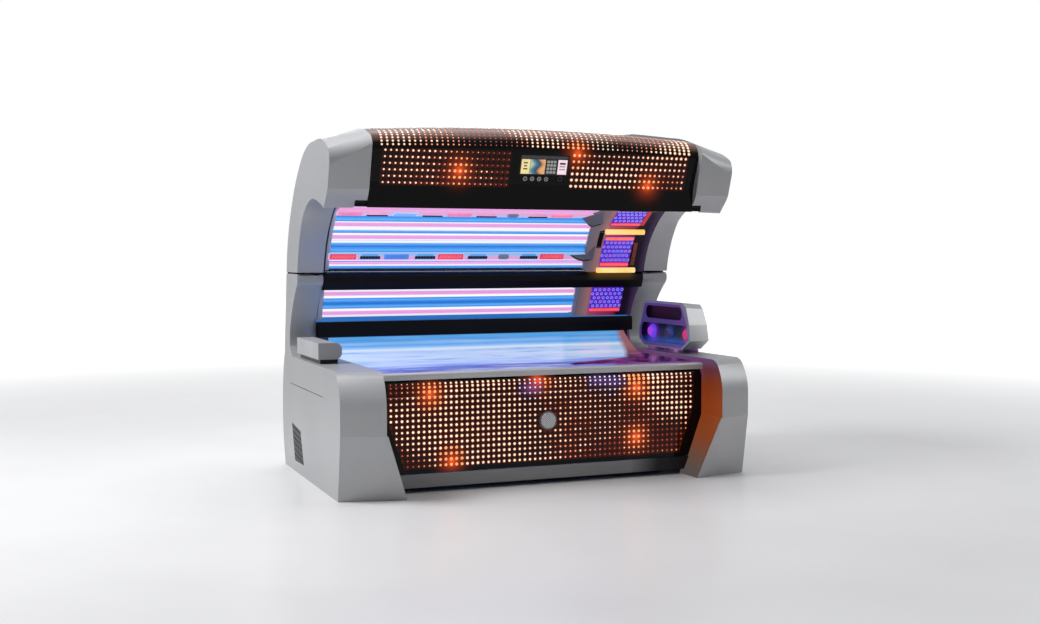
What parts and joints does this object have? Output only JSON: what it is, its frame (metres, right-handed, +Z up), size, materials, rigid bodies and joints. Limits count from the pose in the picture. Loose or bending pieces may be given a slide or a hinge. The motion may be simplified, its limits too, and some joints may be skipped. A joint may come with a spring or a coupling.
{
  "type": "tanning bed",
  "caption": "Lie-down tanning bed with a hinged canopy, curved lying surface, light strips, LED-dotted dark front panels and a head-end air nozzle pod.",
  "frame": {"origin": "floor level under the centre of the bounding box", "axes": "+X along the bed towards the head end with the air pod, -Y towards the user who lies down, +Z up"},
  "size_m": [2.45, 1.529, 2.035],
  "materials": {
    "casing": "satin",
    "dark_grille": "satin",
    "frame_steel": "satin",
    "feet": "matte",
    "bed_acrylic": "gloss",
    "clear_acrylic": "gloss",
    "reflector": "polished",
    "lamps": "gloss",
    "holders": "matte",
    "ribs": "satin",
    "front_glass": "gloss",
    "circuit_board": "matte",
    "inner_plastic": "matte",
    "silver_trim": "satin",
    "kick_plate": "satin",
    "round_cap": "satin",
    "black_trim": "satin",
    "face_housing": "gloss",
    "face_panel": "gloss",
    "face_bar": "gloss",
    "rear_panel": "satin",
    "fan": "matte",
    "ballast": "satin",
    "pod_shell": "satin",
    "pod_face": "gloss",
    "nozzle": "gloss",
    "foot_rest": "satin",
    "bright_steel": "satin",
    "vent_strip": "satin",
    "visor_glass": "gloss",
    "top_cover": "gloss",
    "visor_beam": "satin",
    "display": "gloss"
  },
  "bodies": {
    "base": {"right_base_casing": "casing", "left_base_casing": "casing", "side_grilles": "dark_grille", "base_frame": "frame_steel", "levelling_feet": "feet", "floor_pan": "frame_steel", "bed_acrylic": "bed_acrylic", "bed_reflector": "reflector", "bed_lamps": "lamps", "bed_lamp_holders": "holders", "bed_ribs": "ribs", "front_glass": "front_glass", "front_led_board": "circuit_board", "front_carrier": "inner_plastic", "front_rail": "silver_trim", "kick_plate": "kick_plate", "round_cap": "round_cap", "lower_bar": "black_trim", "upper_bar": "black_trim", "back_wall_acrylic": "clear_acrylic", "back_wall_reflector": "reflector", "back_wall_lamps": "lamps", "back_wall_lamp_holders": "holders", "back_wall_light_housing": "face_housing", "back_wall_light_panel": "face_panel", "rear_cover": "rear_panel", "cable_gland": "black_trim", "upper_rear_cover": "rear_panel", "gap_seal": "feet", "fan_housings": "fan", "ballasts": "ballast", "control_box": "inner_plastic", "pod_shell": "pod_shell", "pod_face": "pod_face", "pod_bulkhead": "pod_face", "foot_rest": "foot_rest", "side_risers": "black_trim", "hinge_pins": "bright_steel", "hinge_spring_cartridges": "bright_steel"},
    "canopy": {"right_canopy_casing": "casing", "left_canopy_casing": "casing", "canopy_frame": "frame_steel", "canopy_acrylic": "clear_acrylic", "canopy_lamps": "lamps", "canopy_lamp_holders": "holders", "canopy_reflector": "reflector", "canopy_vent_strips": "vent_strip", "face_light_housing": "face_housing", "face_light_panels": "face_panel", "face_lamp_bars": "face_bar", "visor_glass": "visor_glass", "canopy_top_cover": "top_cover", "visor_beam": "visor_beam", "visor_led_boards": "circuit_board", "display_unit": "display"},
    "right_fan": {"right_fan_rotor": "fan"},
    "left_fan": {"left_fan_rotor": "fan"},
    "nozzle_front": {"pod_nozzle_front": "nozzle"},
    "nozzle_middle": {"pod_nozzle_middle": "nozzle"},
    "nozzle_back": {"pod_nozzle_back": "nozzle"}
  },
  "joints": [
    {"name": "canopy_hinge", "type": "hinge", "parent": "base", "child": "canopy", "pos_m": [0, 0.352, 1.15], "axis": [1, 0, 0], "range_deg": [0, 58]},
    {"name": "right_fan_spin", "type": "hinge", "parent": "base", "child": "right_fan", "pos_m": [1.137, 0.345, 0.185], "axis": [1, 0, 0], "continuous": true},
    {"name": "left_fan_spin", "type": "hinge", "parent": "base", "child": "left_fan", "pos_m": [-1.137, 0.345, 0.185], "axis": [1, 0, 0], "continuous": true},
    {"name": "nozzle_front_swivel", "type": "hinge", "parent": "base", "child": "nozzle_front", "pos_m": [1.105, -0.198, 0.795], "axis": [0, 0, 1], "range_deg": [-20, 20]},
    {"name": "nozzle_middle_swivel", "type": "hinge", "parent": "base", "child": "nozzle_middle", "pos_m": [1.105, 0.031, 0.795], "axis": [0, 0, 1], "range_deg": [-20, 20]},
    {"name": "nozzle_back_swivel", "type": "hinge", "parent": "base", "child": "nozzle_back", "pos_m": [1.105, 0.26, 0.795], "axis": [0, 0, 1], "range_deg": [-20, 20]}
  ]
}
